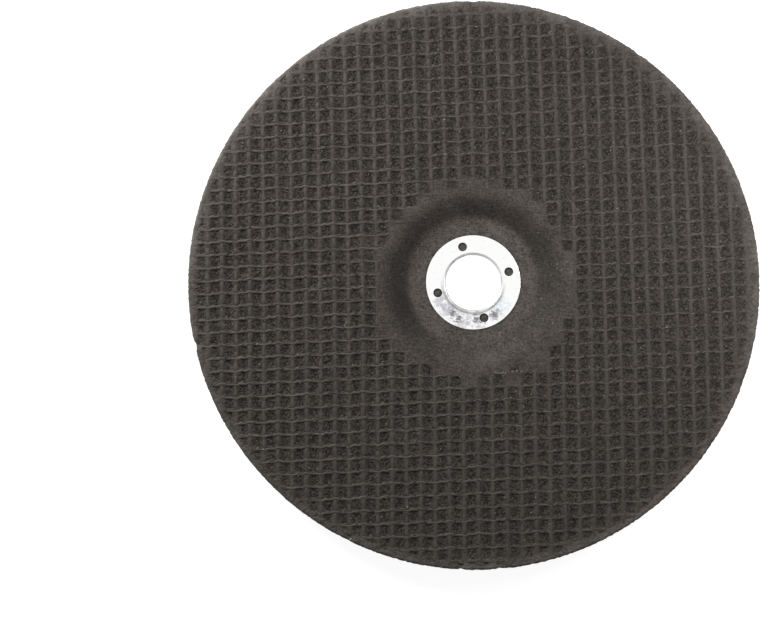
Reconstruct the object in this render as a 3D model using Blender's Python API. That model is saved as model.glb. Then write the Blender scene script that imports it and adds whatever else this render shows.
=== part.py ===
"""A depressed-centre grinding disc for an angle grinder.

It lies on the back of its sunk hub with the grinding side up. Lengths are in metres. The origin is the
centre of the bore on the plane that the disc lies on, and +Z runs along the bore to the grinding side.
The warp threads of the glass mesh run close to Y, and its weft threads close to X.
"""
import math

import bmesh
import bpy
from mathutils import Matrix, Vector

MM = 0.001

# Gap between a piece and the piece that it is bonded or pressed to
CLEARANCE = 0.3 * MM

# How far the straight steps of a rounded corner may stray from its arc
ARC_TOLERANCE = 0.05 * MM

# Abrasive body. The hub's floor runs out from the ring's flange, and its sloping wall out from the floor
DISC_DIAMETER = 230.0 * MM
DISC_THICKNESS = 6.0 * MM
HUB_DEPTH = 4.6 * MM
HUB_FLOOR_WIDTH = 7.3 * MM
HUB_WALL_RUN = 7.4 * MM
HUB_FLOOR_BEND = 5.0 * MM
HUB_MOUTH_BEND = 7.5 * MM
RIM_ROUNDING = 1.0 * MM
BODY_SEGMENTS = 96

# Steel ring in the hub
BORE_DIAMETER = 22.23 * MM
FLANGE_WIDTH = 8.0 * MM
SHEET_THICKNESS = 0.5 * MM
FLANGE_PROUD = 0.2 * MM
FLANGE_EDGE_ROUNDING = 0.15 * MM
BORE_EDGE_BEND = 1.1 * MM
COLLAR_SETBACK = 0.6 * MM
RING_SEGMENTS = 72

# Holes through the ring's flange, set in from its edge
HOLE_DIAMETER = 3.6 * MM
HOLE_INSET = 4.1 * MM
HOLE_COUNT = 4
HOLE_TURN = math.radians(16.6)
HOLE_SEGMENTS = 20

# Glass mesh in the grinding face, between a margin round the hub's mouth and one at the rim
MESH_HUB_MARGIN = 7.2 * MM
MESH_RIM_MARGIN = 3.0 * MM
CELL_DEPTH = 0.7 * MM
CELL_FLOOR_THICKNESS = 0.3 * MM
WARP_PITCH = 5.71 * MM
WEFT_PITCH = 5.25 * MM
CELL_FLOOR_LENGTH = 3.0 * MM

# How the mesh was laid: where its middle threads run, how far they lean, and how far the warp bows at the rim
WARP_SHIFT = 0.9 * MM
WARP_LEAN = math.radians(-0.85)
WARP_BOW = -1.3 * MM
WEFT_SHIFT = -0.4 * MM
WEFT_LEAN = math.radians(2.37)

# Levels and radii that follow from the sizes above
BACK_LEVEL = HUB_DEPTH
HUB_FLOOR_LEVEL = DISC_THICKNESS
FACE_LEVEL = HUB_DEPTH + DISC_THICKNESS
DISC_RADIUS = DISC_DIAMETER / 2.0
BORE_RADIUS = BORE_DIAMETER / 2.0
COLLAR_RADIUS = BORE_RADIUS + SHEET_THICKNESS
FLANGE_RADIUS = BORE_RADIUS + FLANGE_WIDTH
FLANGE_LEVEL = HUB_FLOOR_LEVEL + FLANGE_PROUD
HOLE_CIRCLE_RADIUS = FLANGE_RADIUS - HOLE_INSET
HUB_FLOOR_RADIUS = FLANGE_RADIUS + HUB_FLOOR_WIDTH
HUB_MOUTH_RADIUS = HUB_FLOOR_RADIUS + HUB_WALL_RUN
MESH_THICKNESS = CELL_DEPTH + CELL_FLOOR_THICKNESS
MESH_INNER_RADIUS = HUB_MOUTH_RADIUS + MESH_HUB_MARGIN
MESH_OUTER_RADIUS = DISC_RADIUS - MESH_RIM_MARGIN


def clear_scene():
    for old in list(bpy.data.objects):
        bpy.data.objects.remove(old)


def material(name, colour, roughness, metallic=0.0):
    finish = bpy.data.materials.new(name)
    finish.use_nodes = True
    shader = finish.node_tree.nodes["Principled BSDF"]
    shader.inputs["Base Color"].default_value = (*colour, 1.0)
    shader.inputs["Roughness"].default_value = roughness
    shader.inputs["Metallic"].default_value = metallic
    finish.diffuse_color = (*colour, 1.0)
    return finish


def add_object(name, mesh_data, level=0.0, finish=None):
    piece = bpy.data.objects.new(name, mesh_data)
    piece.location.z = level
    bpy.context.scene.collection.objects.link(piece)
    if finish:
        mesh_data.materials.append(finish)
    return piece


def rounded_outline(corners):
    """Points of a closed outline, from corners given as (radius, height, fillet radius)."""
    points = []
    for index, (radius, height, fillet) in enumerate(corners):
        corner = Vector((radius, height))
        if fillet <= 0.0:
            points.append(corner)
            continue
        back = (Vector(corners[index - 1][:2]) - corner).normalized()
        ahead = (Vector(corners[(index + 1) % len(corners)][:2]) - corner).normalized()
        half_angle = back.angle(ahead) / 2.0
        centre = corner + (back + ahead).normalized() * fillet / math.sin(half_angle)
        spoke = corner + back * fillet / math.tan(half_angle) - centre
        sweep = math.copysign(math.pi - 2.0 * half_angle, ahead.cross(back))
        widest_step = 2.0 * math.acos(max(1.0 - ARC_TOLERANCE / fillet, 0.0))
        steps = math.ceil(abs(sweep) / widest_step)
        for step in range(steps + 1):
            points.append(centre + Matrix.Rotation(sweep * step / steps, 2) @ spoke)
    return points


def turned(name, outline, segments):
    """A mesh made by turning a closed outline of (radius, height) points round Z."""
    solid = bmesh.new()
    rim = [solid.verts.new((point.x, 0.0, point.y)) for point in outline]
    edges = [solid.edges.new((rim[index - 1], vertex)) for index, vertex in enumerate(rim)]
    bmesh.ops.spin(
        solid,
        geom=rim + edges,
        axis=(0.0, 0.0, 1.0),
        angle=math.tau,
        steps=segments,
        use_merge=True,
    )
    bmesh.ops.recalc_face_normals(solid, faces=solid.faces)
    mesh_data = bpy.data.meshes.new(name)
    solid.to_mesh(mesh_data)
    solid.free()
    mesh_data.shade_smooth()
    mesh_data.set_sharp_from_angle(angle=math.radians(30.0))
    return mesh_data


def abrasive_body():
    """The moulded body: a flat wheel whose hub is set back, with a seat for the ring and one for the mesh."""
    wall_angle = math.atan2(HUB_DEPTH, HUB_WALL_RUN)
    back_offset = DISC_THICKNESS * math.tan(wall_angle / 2.0)
    ring_seat_level = FLANGE_LEVEL - SHEET_THICKNESS - CLEARANCE
    mesh_seat_level = FACE_LEVEL - MESH_THICKNESS - CLEARANCE
    corners = [
        (DISC_RADIUS, FACE_LEVEL, RIM_ROUNDING),
        (DISC_RADIUS, BACK_LEVEL, RIM_ROUNDING),
        (HUB_MOUTH_RADIUS + back_offset, BACK_LEVEL, max(HUB_MOUTH_BEND - DISC_THICKNESS, 0.0)),
        (HUB_FLOOR_RADIUS + back_offset, 0.0, HUB_FLOOR_BEND + DISC_THICKNESS),
        (COLLAR_RADIUS + CLEARANCE, 0.0, 0.0),
        (COLLAR_RADIUS + CLEARANCE, ring_seat_level, BORE_EDGE_BEND - SHEET_THICKNESS - CLEARANCE),
        (FLANGE_RADIUS + CLEARANCE, ring_seat_level, 0.0),
        (FLANGE_RADIUS + CLEARANCE, HUB_FLOOR_LEVEL, 0.0),
        (HUB_FLOOR_RADIUS, HUB_FLOOR_LEVEL, HUB_FLOOR_BEND),
        (HUB_MOUTH_RADIUS, FACE_LEVEL, HUB_MOUTH_BEND),
        (MESH_INNER_RADIUS - CLEARANCE, FACE_LEVEL, 0.0),
        (MESH_INNER_RADIUS - CLEARANCE, mesh_seat_level, 0.0),
        (MESH_OUTER_RADIUS + CLEARANCE, mesh_seat_level, 0.0),
        (MESH_OUTER_RADIUS + CLEARANCE, FACE_LEVEL, 0.0),
    ]
    grit = material("resin_bonded_grit", (0.050, 0.046, 0.042), 0.92)
    body_mesh = turned("abrasive_body", rounded_outline(corners), BODY_SEGMENTS)
    return add_object("abrasive_body", body_mesh, finish=grit)


def flange_holes():
    """The punches that cut the four small holes: a guide for the ring's Boolean, and no piece of the disc."""
    punches = bmesh.new()
    punch_length = 4.0 * SHEET_THICKNESS
    for index in range(HOLE_COUNT):
        angle = HOLE_TURN + math.tau * index / HOLE_COUNT
        centre = Vector((math.cos(angle), math.sin(angle), 0.0)) * HOLE_CIRCLE_RADIUS
        bmesh.ops.create_cone(
            punches,
            cap_ends=True,
            segments=HOLE_SEGMENTS,
            radius1=HOLE_DIAMETER / 2.0,
            radius2=HOLE_DIAMETER / 2.0,
            depth=punch_length,
            matrix=Matrix.Translation(centre),
        )
    punch_mesh = bpy.data.meshes.new("flange_holes")
    punches.to_mesh(punch_mesh)
    punches.free()
    return guide("flange_holes", punch_mesh, FLANGE_LEVEL)


def guide(name, mesh_data, level):
    tool = add_object(name, mesh_data, level)
    tool.hide_render = True
    tool.display_type = "WIRE"
    return tool


def cut(piece, tool, operation):
    boolean = piece.modifiers.new(tool.name, "BOOLEAN")
    boolean.operation = operation
    boolean.solver = "EXACT"
    boolean.object = tool


def hub_ring():
    """The pressed ring, with its own origin on the flange's face: flange, rounded bore edge and collar."""
    collar_end = COLLAR_SETBACK - FLANGE_LEVEL
    corners = [
        (FLANGE_RADIUS, 0.0, FLANGE_EDGE_ROUNDING),
        (FLANGE_RADIUS, -SHEET_THICKNESS, 0.0),
        (COLLAR_RADIUS, -SHEET_THICKNESS, BORE_EDGE_BEND - SHEET_THICKNESS),
        (COLLAR_RADIUS, collar_end, 0.0),
        (BORE_RADIUS, collar_end, 0.0),
        (BORE_RADIUS, 0.0, BORE_EDGE_BEND),
    ]
    tin = material("tinned_sheet_steel", (0.80, 0.80, 0.81), 0.25, metallic=1.0)
    ring_mesh = turned("hub_ring", rounded_outline(corners), RING_SEGMENTS)
    ring = add_object("hub_ring", ring_mesh, FLANGE_LEVEL, tin)
    cut(ring, flange_holes(), "DIFFERENCE")
    return ring


def thread_crossing(warp, weft):
    """Where a warp and a weft thread cross. The thread numbers count from the middle of the disc."""
    x = warp * WARP_PITCH
    y = weft * WEFT_PITCH
    warp_drift = WARP_SHIFT + math.tan(WARP_LEAN) * y + WARP_BOW * (y / DISC_RADIUS) ** 2
    weft_drift = WEFT_SHIFT + math.tan(WEFT_LEAN) * x
    return Vector((x + warp_drift, y + weft_drift, 0.0))


def woven_sheet():
    """A sheet with a ridge along each thread and a sunk cell between them. Its ridges are at height 0."""
    spare_threads = 3
    warps = math.ceil(MESH_OUTER_RADIUS / WARP_PITCH) + spare_threads
    wefts = math.ceil(MESH_OUTER_RADIUS / WEFT_PITCH) + spare_threads
    sheet = bmesh.new()
    crossings = {
        (warp, weft): sheet.verts.new(thread_crossing(warp, weft))
        for warp in range(-warps, warps + 1)
        for weft in range(-wefts, wefts + 1)
    }
    floor_reach = CELL_FLOOR_LENGTH / 2.0 / WEFT_PITCH
    for warp in range(-warps, warps):
        for weft in range(-wefts, wefts):
            near_left = crossings[warp, weft]
            near_right = crossings[warp + 1, weft]
            far_left = crossings[warp, weft + 1]
            far_right = crossings[warp + 1, weft + 1]
            near_middle = (near_left.co + near_right.co) / 2.0
            far_middle = (far_left.co + far_right.co) / 2.0
            sunk = Vector((0.0, 0.0, -CELL_DEPTH))
            near_floor = sheet.verts.new(near_middle.lerp(far_middle, 0.5 - floor_reach) + sunk)
            far_floor = sheet.verts.new(near_middle.lerp(far_middle, 0.5 + floor_reach) + sunk)
            sheet.faces.new((near_left, near_right, near_floor))
            sheet.faces.new((near_right, far_right, far_floor))
            sheet.faces.new((near_right, far_floor, near_floor))
            sheet.faces.new((far_right, far_left, far_floor))
            sheet.faces.new((far_left, near_left, near_floor))
            sheet.faces.new((far_left, near_floor, far_floor))
    border = [(warp, -wefts) for warp in range(-warps, warps)]
    border += [(warps, weft) for weft in range(-wefts, wefts)]
    border += [(warp, wefts) for warp in range(warps, -warps, -1)]
    border += [(-warps, weft) for weft in range(wefts, -wefts, -1)]
    upper = [crossings[place] for place in border]
    drop = Vector((0.0, 0.0, -MESH_THICKNESS))
    lower = [sheet.verts.new(vertex.co + drop) for vertex in upper]
    for index in range(len(border)):
        sheet.faces.new((upper[index - 1], lower[index - 1], lower[index], upper[index]))
    sheet.faces.new(reversed(lower))
    mesh_data = bpy.data.meshes.new("glass_mesh")
    sheet.to_mesh(mesh_data)
    sheet.free()
    return mesh_data


def glass_mesh():
    """The woven sheet, cut to the ring shape in which it shows in the grinding face."""
    glass = material("resin_soaked_glass_mesh", (0.095, 0.088, 0.082), 0.75)
    sheet = add_object("glass_mesh", woven_sheet(), FACE_LEVEL, glass)
    ring_outline = [
        Vector((MESH_OUTER_RADIUS, MESH_THICKNESS)),
        Vector((MESH_OUTER_RADIUS, -2.0 * MESH_THICKNESS)),
        Vector((MESH_INNER_RADIUS, -2.0 * MESH_THICKNESS)),
        Vector((MESH_INNER_RADIUS, MESH_THICKNESS)),
    ]
    outline_mesh = turned("mesh_outline", ring_outline, BODY_SEGMENTS)
    cut(sheet, guide("mesh_outline", outline_mesh, FACE_LEVEL), "INTERSECT")
    return sheet


clear_scene()
abrasive_body()
hub_ring()
glass_mesh()
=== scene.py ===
"""The looks of a depressed-centre grinding disc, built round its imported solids. Lengths are in metres.

The disc lies on the back of its hub with the grinding side up. The warp threads of its glass mesh run close
to Y, and the weft threads close to X.
"""

import math

import bmesh
import bpy
import numpy as np
from mathutils import Matrix, Vector, noise
from mathutils.geometry import delaunay_2d_cdt


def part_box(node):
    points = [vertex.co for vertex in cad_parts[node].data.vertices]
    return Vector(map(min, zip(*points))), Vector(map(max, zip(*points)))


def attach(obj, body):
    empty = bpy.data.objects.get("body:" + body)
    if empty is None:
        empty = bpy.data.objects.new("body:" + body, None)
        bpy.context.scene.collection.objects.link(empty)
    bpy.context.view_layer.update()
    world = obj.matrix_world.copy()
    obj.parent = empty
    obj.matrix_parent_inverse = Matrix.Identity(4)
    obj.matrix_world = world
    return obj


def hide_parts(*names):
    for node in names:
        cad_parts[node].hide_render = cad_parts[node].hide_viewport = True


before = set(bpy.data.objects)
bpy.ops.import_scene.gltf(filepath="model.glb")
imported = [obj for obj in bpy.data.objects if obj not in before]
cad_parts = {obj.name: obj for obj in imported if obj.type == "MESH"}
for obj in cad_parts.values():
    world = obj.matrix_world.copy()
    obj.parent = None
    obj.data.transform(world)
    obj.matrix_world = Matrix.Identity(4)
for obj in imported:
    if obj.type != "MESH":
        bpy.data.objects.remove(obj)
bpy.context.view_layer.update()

MM = 0.001

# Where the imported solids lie
_, BODY_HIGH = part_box("abrasive_body")
_, MESH_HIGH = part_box("glass_mesh")
RING_LOW, RING_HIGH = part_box("hub_ring")
DISC_RADIUS = BODY_HIGH.x
FACE_LEVEL = BODY_HIGH.z
MESH_OUTER_RADIUS = MESH_HIGH.x
FLANGE_RADIUS = RING_HIGH.x
FLANGE_LEVEL = RING_HIGH.z
COLLAR_END = RING_LOW.z

# The pressed body's section, as in its solid
CLEARANCE = 0.3 * MM
DISC_THICKNESS = 6.0 * MM
HUB_FLOOR_WIDTH = 7.3 * MM
HUB_WALL_RUN = 7.4 * MM
HUB_FLOOR_BEND = 5.0 * MM
HUB_MOUTH_BEND = 7.5 * MM
RIM_ROUNDING = 1.0 * MM
BACK_LEVEL = FACE_LEVEL - DISC_THICKNESS
HUB_FLOOR_LEVEL = DISC_THICKNESS
HUB_FLOOR_RADIUS = FLANGE_RADIUS + HUB_FLOOR_WIDTH
HUB_MOUTH_RADIUS = HUB_FLOOR_RADIUS + HUB_WALL_RUN

# The steel ring, as in its solid
BORE_RADIUS = 22.23 * MM / 2.0
SHEET_THICKNESS = 0.5 * MM
BORE_EDGE_BEND = 1.1 * MM
COLLAR_RADIUS = BORE_RADIUS + SHEET_THICKNESS
HOLE_DIAMETER = 3.6 * MM
HOLE_CIRCLE_RADIUS = FLANGE_RADIUS - 4.1 * MM
HOLE_COUNT = 4
HOLE_TURN = math.radians(16.6)

# Where the scene differs from the solids: resin grips the ring tightly, and the flange has a sharper edge
SEAT_GAP = 0.03 * MM
FLANGE_EDGE_ROUNDING = 0.04 * MM

# The ring's mesh: how far apart the points of its section lie, and how many segments it has round Z
RING_SPACING = 0.45 * MM
RING_SEGMENTS = 216

# How the glass mesh was laid, as in its solid
WARP_PITCH = 5.71 * MM
WEFT_PITCH = 5.25 * MM
WARP_SHIFT = 0.9 * MM
WARP_LEAN = math.radians(-0.85)
WARP_BOW = -1.3 * MM
WEFT_SHIFT = -0.4 * MM
WEFT_LEAN = math.radians(2.37)
MESH_INNER_RADIUS = HUB_MOUTH_RADIUS + 7.2 * MM
CELL_DEPTH = 0.7 * MM

# How far the mesh was pulled out of true as it was pressed, in millimetres: everywhere the same, then growing
# with X, with Y, with X squared, with X times Y and with Y squared, each counted in disc radii
WARP_PULL = (-0.13, -0.06, 0.01, 0.89, -0.68, 0.30)
WEFT_PULL = (-0.05, 0.14, 0.01, -0.08, 0.76, -0.46)

# Threads: half widths, heights, and how many there are on each side of the middle one
WARP_HALF_WIDTH = 0.88 * MM
WARP_HEIGHT = 0.60 * MM
WARP_COUNT = 22
WEFT_HALF_WIDTH = 0.58 * MM
WEFT_HEIGHT = 0.50 * MM
WEFT_COUNT = 24

# A thread's line: steps from one crossing to the next, how far it wanders and frays, and how near the hub it
# starts
STEPS_TO_A_CELL = 8
THREAD_WANDER = 0.16 * MM
THREAD_FRAY = 0.018 * MM
THREAD_INNER_RADIUS = HUB_MOUTH_RADIUS + 3.0 * MM

# The crest of a warp thread on its way down from one weft thread to the next: share of the way, height in
# millimetres. Every other warp thread is twisted the other way.
EVEN_WARP_CREST = (
    (0.0, 0.10, 0.22, 0.35, 0.50, 0.75, 0.90, 1.0),
    (-0.12, -0.10, -0.03, 0.0, -0.02, -0.07, -0.11, -0.12),
)
ODD_WARP_CREST = (
    (0.0, 0.12, 0.25, 0.42, 0.58, 0.72, 0.86, 0.94, 1.0),
    (-0.13, -0.09, -0.07, -0.10, -0.04, 0.0, -0.02, -0.10, -0.13),
)

# How light a warp thread is on the same way, in painted light and shade: lighter where it rises from under a
# weft thread, darker where it falls
EVEN_WARP_PAINTED_LIGHT = ((0.0, 0.20, 0.45, 0.70, 1.0), (0.92, 1.12, 0.86, 0.76, 0.84))
ODD_WARP_PAINTED_LIGHT = ((0.0, 0.15, 0.50, 0.80, 1.0), (0.74, 1.00, 1.18, 1.00, 0.74))

# The crest of a weft thread over two warp threads, the first of them at 0 and the second at 1: share of the
# way, how far it is pushed up the disc, and its height, both in millimetres
WEFT_WAY = (-0.5, -0.3, -0.15, 0.0, 0.15, 0.35, 0.55, 0.8, 1.0, 1.15, 1.3, 1.4, 1.5)
WEFT_PUSH = (-0.14, -0.16, 0.14, 0.40, 0.15, -0.10, -0.18, -0.24, -0.45, -0.38, -0.05, 0.02, -0.14)
WEFT_CREST = (-0.10, -0.10, -0.05, -0.01, -0.07, -0.12, -0.09, -0.06, -0.01, -0.05, -0.03, -0.03, -0.10)

# The points of the pressed surface: how far apart they lie, how many there are round the rim and the bore,
# the share that is left out on the plain hub, and how near a thread's middle they lie hidden under it
FACE_SPACING = 0.735 * MM
WEFT_EDGE_SPACING = 1.04 * MM
BACK_SPACING = 2.15 * MM
RIM_SPACING = 0.65 * MM
RIM_SEGMENTS = 960
BORE_SEGMENTS = 180
PLAIN_THINNING = 0.58
HIDDEN_BY_WARP = 0.65 * MM
HIDDEN_BY_WEFT = 0.70 * MM

# Rows of points along a weft thread: how far up the disc from its middle they lie, and how far they stray
WEFT_EDGE_ROWS = (-0.62 * MM, -0.36 * MM, 0.45 * MM, 0.85 * MM)
ROW_SCATTER = 0.06 * MM

# How far grit sets the points in or out
CELL_GRIT = 0.10 * MM
RIM_GRIT = 0.14 * MM
BACK_GRIT = 0.05 * MM
EDGE_GRIT = 0.055 * MM
FILM_GRIT = 0.014 * MM

# The slopes from a thread down to the floor of a cell: how far from the thread's middle they start and end,
# and how much sooner they end below a proud weft thread
WARP_SLOPE_START = 0.60 * MM
WARP_SLOPE_END_LEFT = 1.95 * MM
WARP_SLOPE_END_RIGHT = 2.5 * MM
WEFT_SLOPE_ABOVE = (0.35 * MM, 1.05 * MM)
WEFT_SLOPE_BELOW = (0.28 * MM, 1.30 * MM)
PROUD_WEFT_STEEPER = 0.50 * MM

# The grit in a cell: how deep it lies beside the threads, how far short of the solid's floor it stays, how
# much one cell differs from the next, and each cell's chance number
GRIT_SINK = 0.14 * MM
FLOOR_RISE = 0.08 * MM
FLOOR_CHANCE = 0.06 * MM
CELL_LUCK = np.random.default_rng(5).normal(0.0, 1.0, (64, 64))

# The hub's film: how light it is at four reaches from a middle that lies off centre towards the upper left.
# This is partly the film's own darker tone on the wall and partly painted shade. Painted shade makes the wall
# darkest on the left, and a painted sheen makes it lighter along Y.
FILM_TONE_AND_SHADE_REACHES = (
    HUB_FLOOR_RADIUS - 1.3 * MM,
    HUB_FLOOR_RADIUS + 1.4 * MM,
    HUB_MOUTH_RADIUS - 0.8 * MM,
    HUB_MOUTH_RADIUS + 4.6 * MM,
)
FILM_TONES_AND_SHADE = (0.93, 0.47, 0.54, 0.73)
FILM_TONE_AND_SHADE_SHIFT = 0.6 * MM
PAINTED_SHADE_WAY = math.radians(195.0)
PAINTED_SHADE_SPREAD = 0.56
PAINTED_SHADE_DEPTH = 0.30
PAINTED_SHEEN_WAY = math.radians(100.0)
PAINTED_SHEEN_DEPTH = 0.14

# Dust gathers over this width along the rim. Painted light makes it lighter on this side and the side across
# from it.
DUST_BAND = 10.5 * MM
DUST_AND_LIGHT_WAY = math.radians(125.0)


class Shade:
    """One output of a shader node. Arithmetic on it adds Math nodes."""

    def __init__(self, tree, output=None):
        self.tree = tree
        self.output = output

    def node(self, kind, settings, values, out=0):
        """Any other node: its settings are set first, then the values or links of its sockets."""
        made = self.tree.nodes.new(kind)
        for name, value in settings.items():
            setattr(made, name, value)
        for name, value in values.items():
            if isinstance(value, Shade):
                self.tree.links.new(value.output, made.inputs[name])
            else:
                made.inputs[name].default_value = value
        return Shade(self.tree, made.outputs[out] if made.outputs else None)

    def maths(self, operation, first, second):
        return self.node("ShaderNodeMath", {"operation": operation}, {0: first, 1: second})

    def __add__(self, other):
        return self.maths("ADD", self, other)

    def __radd__(self, other):
        return self.maths("ADD", other, self)

    def __sub__(self, other):
        return self.maths("SUBTRACT", self, other)

    def __rsub__(self, other):
        return self.maths("SUBTRACT", other, self)

    def __mul__(self, other):
        return self.maths("MULTIPLY", self, other)

    def __rmul__(self, other):
        return self.maths("MULTIPLY", other, self)

    def __truediv__(self, other):
        return self.maths("DIVIDE", self, other)

    def __rtruediv__(self, other):
        return self.maths("DIVIDE", other, self)

    def between(self, low, high):
        """0 up to low, 1 from high on, and a smooth rise between them."""
        settings = {"interpolation_type": "SMOOTHSTEP"}
        values = {"Value": self, "From Min": low, "From Max": high}
        return self.node("ShaderNodeMapRange", settings, values)

    def mix(self, first, second):
        """The first colour at 0 and the second at 1. A Mix node has its colours in sockets 6 and 7."""
        settings = {"data_type": "RGBA"}
        return self.node("ShaderNodeMix", settings, {0: self, 6: first, 7: second}, out=2)

    def tint(self, colour):
        """A grey amount as a shade of this colour."""
        return self.node("ShaderNodeVectorMath", {"operation": "SCALE"}, {0: colour, "Scale": self})


def socket(shader, words):
    return shader.inputs[words.replace("_", " ").title().replace("Ior", "IOR")]


def finish(name, **fixed):
    """A material with a Principled shader, what feeds it, and the places on the object in metres. The fixed
    values are the same all over."""
    material = bpy.data.materials.new(name)
    material.use_nodes = True
    shader = material.node_tree.nodes["Principled BSDF"]
    for words, value in fixed.items():
        socket(shader, words).default_value = value
    shade = Shade(material.node_tree)
    return material, shader, shade, shade.node("ShaderNodeTexCoord", {}, {}, out="Object")


def feed(shade, shader, **links):
    for words, value in links.items():
        shade.tree.links.new(value.output, socket(shader, words))


def rgb(red, green, blue):
    return (red, green, blue, 1.0)


# The colours of the surfaces. Where there are two, the surface runs from the first to the second.
ROUGH_GRIT = (rgb(0.010, 0.0085, 0.007), rgb(0.0735, 0.0622, 0.0539))
RESIN_FILM = (rgb(0.026, 0.0217, 0.0187), rgb(0.131, 0.1116, 0.0964))
GRIT_DUST = rgb(0.225, 0.200, 0.176)
GRIT_SPECK = rgb(0.22, 0.21, 0.19)
SINGLE_GRAIN = (rgb(0.011, 0.009, 0.0078), rgb(0.089, 0.0763, 0.0657))
SOAKED_GLASS = (rgb(0.032, 0.0272, 0.0231), rgb(0.101, 0.086, 0.0743))
CLEAN_TIN = (rgb(0.97, 0.97, 0.965), rgb(0.80, 0.79, 0.81))
# Grey and smeared tin are partly stains and scuffs and partly painted reflections of something dark in the
# dents
GREY_TIN_AND_REFLECTION = rgb(0.36, 0.345, 0.40)
BLUE_TIN = rgb(0.58, 0.72, 0.80)
SMEAR_AND_REFLECTION_TIN = rgb(0.13, 0.125, 0.135)
# Painted shade on the ring's bend into the bore and on its lip
LIP_PAINTED_SHADE = rgb(0.17, 0.165, 0.165)
SHADED_BEND = rgb(0.20, 0.195, 0.195)
PALE_GLASS = (rgb(0.20, 0.19, 0.17), rgb(0.48, 0.46, 0.42))
CREAM_FILLER = (rgb(0.42, 0.36, 0.18), rgb(0.70, 0.64, 0.40))
FLOOR_PAINT = rgb(0.85, 0.85, 0.85)
WHITE = rgb(1.0, 1.0, 1.0)

# Fine lines in a soaked thread: how many there are to a metre across it and along it
LINES_ACROSS = 3500.0
LINES_ALONG = 250.0


def stretched(shade, place, along, across, up):
    """Places scaled by how many features there are to a metre along X, Y and Z."""
    return shade.node("ShaderNodeVectorMath", {"operation": "MULTIPLY"}, {0: place, 1: (along, across, up)})


def clouds(shade, place, scale, detail=2.0, roughness=0.5):
    values = {"Vector": place, "Scale": scale, "Detail": detail, "Roughness": roughness}
    return shade.node("ShaderNodeTexNoise", {}, values)


def grain_chance(shade, place, scale):
    """A chance number for each of the grains, of which there are this many to a metre."""
    colour = shade.node("ShaderNodeTexVoronoi", {}, {"Vector": place, "Scale": scale}, out="Color")
    return shade.node("ShaderNodeSeparateColor", {}, {"Color": colour}, out="Red")


def bump(shade, height, depth, under=None):
    values = {"Height": height, "Distance": depth, "Strength": 1.0}
    if under:
        values["Normal"] = under
    return shade.node("ShaderNodeBump", {}, values)


def marked(shade, name):
    """A value that the mesh carries at its points."""
    return shade.node("ShaderNodeAttribute", {"attribute_name": name}, {}, out="Fac")


def pressed_grit():
    """Dark grit in baked resin: broken grains and pits, under a film of resin where the mould was smooth."""
    material, shader, shade, place = finish("pressed_grit", specular_ior_level=0.3)
    film = marked(shade, "film")
    stand = marked(shade, "stand")
    each = grain_chance(shade, place, 1500.0)
    fleck = clouds(shade, place, 3000.0, 3.0, 0.7)
    cloud = clouds(shade, place, 90.0, 4.0, 0.6)
    pit = 1.0 - clouds(shade, place, 1100.0, 2.0).between(0.30, 0.44)
    lift = (stand * 0.45 + each * 0.75 + fleck * 0.5 - 0.38 - pit * 0.5).between(0.0, 1.0)
    rough_colour = lift.mix(*ROUGH_GRIT)
    along = clouds(shade, stretched(shade, place, 420.0, 2000.0, 700.0), 1.0, 3.0, 0.65)
    across = clouds(shade, stretched(shade, place, 2000.0, 420.0, 700.0), 1.0, 3.0, 0.65)
    smut = clouds(shade, place, 1250.0, 3.0, 0.7)
    streak = along * 0.6 + across * 0.4
    film_tone = (streak * 2.8 + smut * 2.0 + fleck * 0.6 + cloud * 0.9 - 2.65).between(0.0, 1.0)
    # The film's tone carries painted shade and a painted sheen on the hub wall
    tone_and_painted_light = marked(shade, "tone_and_painted_light")
    film_colour = tone_and_painted_light.tint(film_tone.mix(*RESIN_FILM))
    speck = each.between(0.985, 0.992) * cloud.between(0.45, 0.65)
    dust = marked(shade, "dust") * (0.15 + fleck * 0.7)
    plain = film.mix(rough_colour, film_colour)
    colour = (speck * 0.5).mix(dust.mix(plain, GRIT_DUST), GRIT_SPECK)
    fine = bump(shade, fleck + streak * 0.5, 0.10 * MM)
    relief = bump(shade, (1.0 - pit) * (1.0 - film) + each * 0.5 * (1.0 - film), 0.22 * MM, fine)
    feed(shade, shader, base_color=colour, normal=relief, roughness=0.88 - film * tone_and_painted_light * 0.30 + fleck * 0.1)
    return material


def broken_grain():
    """Single grains that stand out of the resin, each in its own shade."""
    material, shader, shade, place = finish("broken_grain", specular_ior_level=0.4)
    each = shade.node("ShaderNodeNewGeometry", {}, {}, out="Random Per Island")
    fleck = clouds(shade, place, 3200.0, 2.0)
    tone = (each * 0.9 + fleck * 0.4 - 0.27).between(0.0, 1.0)
    feed(
        shade,
        shader,
        base_color=tone.mix(*SINGLE_GRAIN),
        roughness=0.8 - each * 0.35,
        normal=bump(shade, fleck, 0.06 * MM),
    )
    return material


def soaked_thread(name, lines_along_x, lines_along_y):
    """Glass strands soaked in resin, with fine lines along the thread and grit dust on it."""
    material, shader, shade, place = finish(name, specular_ior_level=0.4)
    strands = clouds(shade, stretched(shade, place, lines_along_x, lines_along_y, 1500.0), 1.0, 2.0)
    dust = clouds(shade, place, 1500.0, 3.0, 0.65)
    patches = clouds(shade, place, 120.0, 2.0)
    tone = (strands * 0.4 + dust * 0.9 + patches * 0.6 - 0.48).between(0.0, 1.0)
    feed(
        shade,
        shader,
        # The threads' tone carries painted light and shade
        base_color=marked(shade, "tone_and_painted_light").tint(tone.mix(*SOAKED_GLASS)),
        roughness=0.55 + dust * 0.3,
        normal=bump(shade, strands + dust * 0.8, 0.10 * MM),
    )
    return material


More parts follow.
